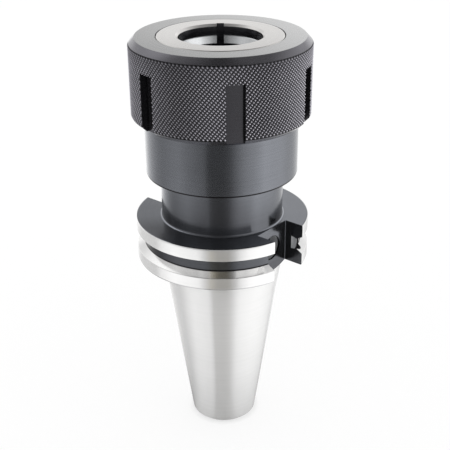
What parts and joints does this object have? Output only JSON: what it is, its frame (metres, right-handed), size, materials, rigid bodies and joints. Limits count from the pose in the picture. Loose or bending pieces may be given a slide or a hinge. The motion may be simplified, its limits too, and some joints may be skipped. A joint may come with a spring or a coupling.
{
  "type": "collet chuck holder",
  "caption": "Taper shank tool holder with a V-flange, two drive slots, a collet pocket and a knurled ball-bearing clamping nut.",
  "frame": {"origin": "centre of the shank's small end, on the face that it stands on", "axes": "+Z along the spindle axis towards the clamping nut; the drive slots lie along X, the one with the round chip hole at +X"},
  "size_m": [0.0636, 0.0636, 0.1535],
  "materials": {
    "holder_steel": "black oxide steel with ground shank and flange rims",
    "nut_steel": "black oxide, fine diamond knurl",
    "plug_steel": "black oxide",
    "ring_steel": "ground",
    "spring_steel": "bright spring steel",
    "screw_steel": "black oxide",
    "ball_steel": "polished"
  },
  "bodies": {
    "holder": {"holder_body": "holder_steel"},
    "ring": {"thrust_ring": "ring_steel", "extractor_ring": "spring_steel"},
    "nut": {"nut_shell": "nut_steel", "ball_plug": "plug_steel"},
    "balls": {"bearing_ball_01": "ball_steel", "bearing_ball_02": "ball_steel", "bearing_ball_03": "ball_steel", "bearing_ball_04": "ball_steel", "bearing_ball_05": "ball_steel", "bearing_ball_06": "ball_steel", "bearing_ball_07": "ball_steel", "bearing_ball_08": "ball_steel", "bearing_ball_09": "ball_steel", "bearing_ball_10": "ball_steel", "bearing_ball_11": "ball_steel", "bearing_ball_12": "ball_steel", "bearing_ball_13": "ball_steel", "bearing_ball_14": "ball_steel", "bearing_ball_15": "ball_steel", "bearing_ball_16": "ball_steel", "bearing_ball_17": "ball_steel", "bearing_ball_18": "ball_steel", "bearing_ball_19": "ball_steel", "bearing_ball_20": "ball_steel", "bearing_ball_21": "ball_steel", "bearing_ball_22": "ball_steel", "bearing_ball_23": "ball_steel", "bearing_ball_24": "ball_steel", "bearing_ball_25": "ball_steel", "bearing_ball_26": "ball_steel", "bearing_ball_27": "ball_steel", "bearing_ball_28": "ball_steel", "bearing_ball_29": "ball_steel", "bearing_ball_30": "ball_steel", "bearing_ball_31": "ball_steel", "bearing_ball_32": "ball_steel", "bearing_ball_33": "ball_steel", "bearing_ball_34": "ball_steel"},
    "stop": {"stop_screw": "screw_steel"}
  },
  "joints": [
    {"name": "ring_travel", "type": "slide", "parent": "holder", "child": "ring", "axis": [0, 0, 1], "range_m": [0, 0.01201]},
    {"name": "nut_turn", "type": "hinge", "parent": "ring", "child": "nut", "pos_m": [0, 0, 0.14], "axis": [0, 0, 1], "range_deg": [0, 2880]},
    {"name": "ball_roll", "type": "hinge", "parent": "ring", "child": "balls", "pos_m": [0, 0, 0.1484], "axis": [0, 0, 1], "range_deg": [0, 1440]},
    {"name": "stop_travel", "type": "slide", "parent": "holder", "child": "stop", "axis": [0, 0, 1], "range_m": [-0.009, 0.01]}
  ],
  "couplings": [
    {"joint": "ring_travel", "follows": "nut_turn", "m_per_rad": 0.00023873},
    {"joint": "ball_roll", "follows": "nut_turn", "ratio": 0.5}
  ]
}
